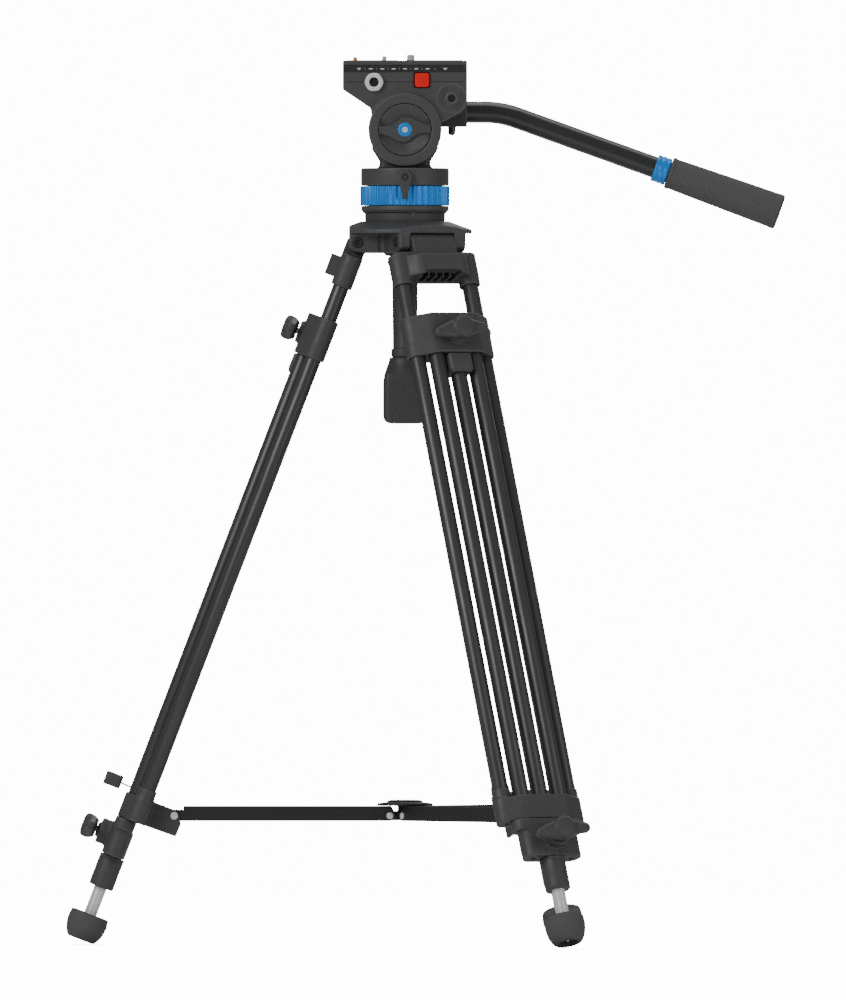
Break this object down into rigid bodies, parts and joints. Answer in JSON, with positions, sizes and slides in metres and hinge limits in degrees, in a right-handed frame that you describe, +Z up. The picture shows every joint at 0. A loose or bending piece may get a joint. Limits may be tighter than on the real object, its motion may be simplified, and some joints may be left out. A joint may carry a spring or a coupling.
{
  "type": "tripod with fluid head",
  "caption": "Camera tripod with a fluid drag head: telescopic twin-tube legs, folding spreader, sliding camera plate and a bent pan bar.",
  "frame": {"origin": "middle of the bounding box, on the floor", "axes": "+Z up, +X towards the pan bar, +Y away from the controls"},
  "size_m": [0.6988, 0.5755, 0.8633],
  "materials": {
    "casting": "fine textured charcoal",
    "tube": "satin black",
    "knob": "matte black",
    "rubber": "matte",
    "steel": "bright",
    "blue": "blue anodised",
    "red": "red",
    "dark": "satin black"
  },
  "bodies": {
    "crown": {"crown": "casting", "hinge_pin_1": "dark", "hinge_pin_2": "dark", "hinge_pin_3": "dark"},
    "level_ring": {"clamp_washer": "dark"},
    "head_base": {"half_ball": "casting"},
    "tie_down": {"tie_down_grip": "knob"},
    "drag_ring": {"pan_drag_ring": "blue"},
    "pan": {"pan_base": "casting"},
    "pan_lever": {"pan_lock_lever": "knob"},
    "tilt": {"tilt_body": "casting"},
    "tilt_knob": {"tilt_drag_knob": "knob"},
    "plate": {"camera_plate": "dark"},
    "screw": {"camera_screw": "steel"},
    "release": {"plate_release_button": "red"},
    "clamp_knob": {"plate_clamp_knob": "steel"},
    "handle": {"pan_bar_bracket": "casting", "pan_bar": "tube", "pan_bar_ring": "blue", "pan_bar_grip": "rubber"},
    "leg_1": {"leg_1_yoke": "casting", "leg_1_upper_tube_a": "tube", "leg_1_upper_tube_b": "tube", "leg_1_bracket": "casting"},
    "leg_1_middle": {"leg_1_slider": "casting", "leg_1_middle_tube_a": "tube", "leg_1_middle_tube_b": "tube", "leg_1_end_cap": "casting"},
    "leg_1_lower": {"leg_1_lower_tube": "tube"},
    "leg_1_foot": {"leg_1_foot": "rubber"},
    "leg_1_slider_knob": {"leg_1_upper_knob": "knob"},
    "leg_1_clamp_knob": {"leg_1_lower_knob": "knob"},
    "leg_2": {"leg_2_yoke": "casting", "leg_2_upper_tube_a": "tube", "leg_2_upper_tube_b": "tube", "leg_2_bracket": "casting"},
    "leg_2_middle": {"leg_2_slider": "casting", "leg_2_middle_tube_a": "tube", "leg_2_middle_tube_b": "tube", "leg_2_end_cap": "casting"},
    "leg_2_lower": {"leg_2_lower_tube": "tube"},
    "leg_2_foot": {"leg_2_foot": "rubber"},
    "leg_2_slider_knob": {"leg_2_upper_knob": "knob"},
    "leg_2_clamp_knob": {"leg_2_lower_knob": "knob"},
    "leg_3": {"leg_3_yoke": "casting", "leg_3_upper_tube_a": "tube", "leg_3_upper_tube_b": "tube", "leg_3_bracket": "casting"},
    "leg_3_middle": {"leg_3_slider": "casting", "leg_3_middle_tube_a": "tube", "leg_3_middle_tube_b": "tube", "leg_3_end_cap": "casting"},
    "leg_3_lower": {"leg_3_lower_tube": "tube"},
    "leg_3_foot": {"leg_3_foot": "rubber"},
    "leg_3_slider_knob": {"leg_3_upper_knob": "knob"},
    "leg_3_clamp_knob": {"leg_3_lower_knob": "knob"},
    "hub": {"spreader_hub": "dark"},
    "arm_1": {"spreader_arm_1": "dark"},
    "arm_2": {"spreader_arm_2": "dark"},
    "arm_3": {"spreader_arm_3": "dark"}
  },
  "joints": [
    {"name": "level_x", "type": "hinge", "parent": "crown", "child": "level_ring", "pos_m": [-0.02064, 0, 0.70596], "axis": [1, 0, 0], "range_deg": [-7, 7]},
    {"name": "level_y", "type": "hinge", "parent": "level_ring", "child": "head_base", "pos_m": [-0.02064, 0, 0.70596], "axis": [0, 1, 0], "range_deg": [-7, 7]},
    {"name": "tie_down_turn", "type": "hinge", "parent": "head_base", "child": "tie_down", "pos_m": [-0.02064, 0, 0.54076], "axis": [0, 0, 1], "continuous": true},
    {"name": "drag_ring_turn", "type": "hinge", "parent": "head_base", "child": "drag_ring", "pos_m": [-0.02064, 0, 0.72576], "axis": [0, 0, 1], "range_deg": [-60, 60]},
    {"name": "pan", "type": "hinge", "parent": "head_base", "child": "pan", "pos_m": [-0.02064, 0, 0.74076], "axis": [0, 0, 1], "continuous": true},
    {"name": "pan_lever_turn", "type": "hinge", "parent": "pan", "child": "pan_lever", "pos_m": [-0.02064, -0.046, 0.74396], "axis": [0, 1, 0], "range_deg": [-45, 45]},
    {"name": "tilt", "type": "hinge", "parent": "pan", "child": "tilt", "pos_m": [-0.02064, 0, 0.79006], "axis": [0, -1, 0], "range_deg": [-50, 50]},
    {"name": "tilt_knob_turn", "type": "hinge", "parent": "tilt", "child": "tilt_knob", "pos_m": [-0.02064, -0.04, 0.79006], "axis": [0, 1, 0], "range_deg": [-90, 90]},
    {"name": "plate_slide", "type": "slide", "parent": "tilt", "child": "plate", "axis": [1, 0, 0], "range_m": [-0.025, 0.025]},
    {"name": "camera_screw_turn", "type": "hinge", "parent": "plate", "child": "screw", "pos_m": [-0.01504, 0, 0.85716], "axis": [0, 0, 1], "continuous": true},
    {"name": "release_press", "type": "slide", "parent": "tilt", "child": "release", "axis": [0, 1, 0], "range_m": [0, 0.0025], "stiffness_N_per_m": 300},
    {"name": "clamp_knob_turn", "type": "hinge", "parent": "tilt", "child": "clamp_knob", "pos_m": [-0.05064, -0.034, 0.83616], "axis": [0, 1, 0], "range_deg": [-90, 90]},
    {"name": "handle_turn", "type": "hinge", "parent": "tilt", "child": "handle", "pos_m": [0.02456, 0.033, 0.82046], "axis": [0, 1, 0], "range_deg": [-60, 50]},
    {"name": "leg_1_fold", "type": "hinge", "parent": "crown", "child": "leg_1", "pos_m": [-0.06624, 0, 0.68076], "axis": [0, -1, 0], "range_deg": [0, 14]},
    {"name": "leg_1_middle_slide", "type": "slide", "parent": "leg_1", "child": "leg_1_middle", "axis": [-0.3584, 0, -0.9336], "range_m": [0, 0.43]},
    {"name": "leg_1_lower_slide", "type": "slide", "parent": "leg_1_middle", "child": "leg_1_lower", "axis": [-0.3584, 0, -0.9336], "range_m": [0, 0.43]},
    {"name": "leg_1_foot_screw", "type": "slide", "parent": "leg_1_lower", "child": "leg_1_foot", "axis": [0.3584, 0, 0.9336], "range_m": [0, 0.018]},
    {"name": "leg_1_slider_knob_turn", "type": "hinge", "parent": "leg_1_middle", "child": "leg_1_slider_knob", "pos_m": [-0.1303, 0, 0.59759], "axis": [-0.9336, 0, 0.3584], "range_deg": [-90, 90]},
    {"name": "leg_1_clamp_knob_turn", "type": "hinge", "parent": "leg_1_middle", "child": "leg_1_clamp_knob", "pos_m": [-0.32433, 0, 0.11443], "axis": [-0.9336, 0, 0.3584], "range_deg": [-90, 90]},
    {"name": "leg_2_fold", "type": "hinge", "parent": "crown", "child": "leg_2", "pos_m": [0.00216, -0.03949, 0.68076], "axis": [0.866, 0.5, 0], "range_deg": [0, 14]},
    {"name": "leg_2_middle_slide", "type": "slide", "parent": "leg_2", "child": "leg_2_middle", "axis": [0.1792, -0.3104, -0.9336], "range_m": [0, 0.43]},
    {"name": "leg_2_lower_slide", "type": "slide", "parent": "leg_2_middle", "child": "leg_2_lower", "axis": [0.1792, -0.3104, -0.9336], "range_m": [0, 0.43]},
    {"name": "leg_2_foot_screw", "type": "slide", "parent": "leg_2_lower", "child": "leg_2_foot", "axis": [-0.1792, 0.3104, 0.9336], "range_m": [0, 0.018]},
    {"name": "leg_2_slider_knob_turn", "type": "hinge", "parent": "leg_2_middle", "child": "leg_2_slider_knob", "pos_m": [0.03419, -0.09497, 0.59759], "axis": [0.4668, -0.8085, 0.3584], "range_deg": [-90, 90]},
    {"name": "leg_2_clamp_knob_turn", "type": "hinge", "parent": "leg_2_middle", "child": "leg_2_clamp_knob", "pos_m": [0.13121, -0.26301, 0.11443], "axis": [0.4668, -0.8085, 0.3584], "range_deg": [-90, 90]},
    {"name": "leg_3_fold", "type": "hinge", "parent": "crown", "child": "leg_3", "pos_m": [0.00216, 0.03949, 0.68076], "axis": [-0.866, 0.5, 0], "range_deg": [0, 14]},
    {"name": "leg_3_middle_slide", "type": "slide", "parent": "leg_3", "child": "leg_3_middle", "axis": [0.1792, 0.3104, -0.9336], "range_m": [0, 0.43]},
    {"name": "leg_3_lower_slide", "type": "slide", "parent": "leg_3_middle", "child": "leg_3_lower", "axis": [0.1792, 0.3104, -0.9336], "range_m": [0, 0.43]},
    {"name": "leg_3_foot_screw", "type": "slide", "parent": "leg_3_lower", "child": "leg_3_foot", "axis": [-0.1792, -0.3104, 0.9336], "range_m": [0, 0.018]},
    {"name": "leg_3_slider_knob_turn", "type": "hinge", "parent": "leg_3_middle", "child": "leg_3_slider_knob", "pos_m": [0.03419, 0.09497, 0.59759], "axis": [0.4668, 0.8085, 0.3584], "range_deg": [-90, 90]},
    {"name": "leg_3_clamp_knob_turn", "type": "hinge", "parent": "leg_3_middle", "child": "leg_3_clamp_knob", "pos_m": [0.13121, 0.26301, 0.11443], "axis": [0.4668, 0.8085, 0.3584], "range_deg": [-90, 90]},
    {"name": "hub_rise", "type": "slide", "parent": "crown", "child": "hub", "axis": [0, 0, 1], "range_m": [0, 0.2]},
    {"name": "arm_1_fold", "type": "hinge", "parent": "hub", "child": "arm_1", "pos_m": [-0.03514, 0, 0.12501], "axis": [0, -1, 0], "range_deg": [0, 75]},
    {"name": "arm_2_fold", "type": "hinge", "parent": "hub", "child": "arm_2", "pos_m": [-0.01339, -0.01256, 0.12501], "axis": [0.866, 0.5, 0], "range_deg": [0, 75]},
    {"name": "arm_3_fold", "type": "hinge", "parent": "hub", "child": "arm_3", "pos_m": [-0.01339, 0.01256, 0.12501], "axis": [-0.866, 0.5, 0], "range_deg": [0, 75]}
  ],
  "couplings": [
    {"joint": "leg_2_fold", "follows": "leg_1_fold", "ratio": 1},
    {"joint": "leg_3_fold", "follows": "leg_1_fold", "ratio": 1},
    {"joint": "hub_rise", "follows": "leg_1_fold", "m_per_rad": 0.69901},
    {"joint": "arm_1_fold", "follows": "leg_1_fold", "ratio": 5.0421},
    {"joint": "arm_2_fold", "follows": "leg_1_fold", "ratio": 5.0421},
    {"joint": "arm_3_fold", "follows": "leg_1_fold", "ratio": 5.0421}
  ]
}
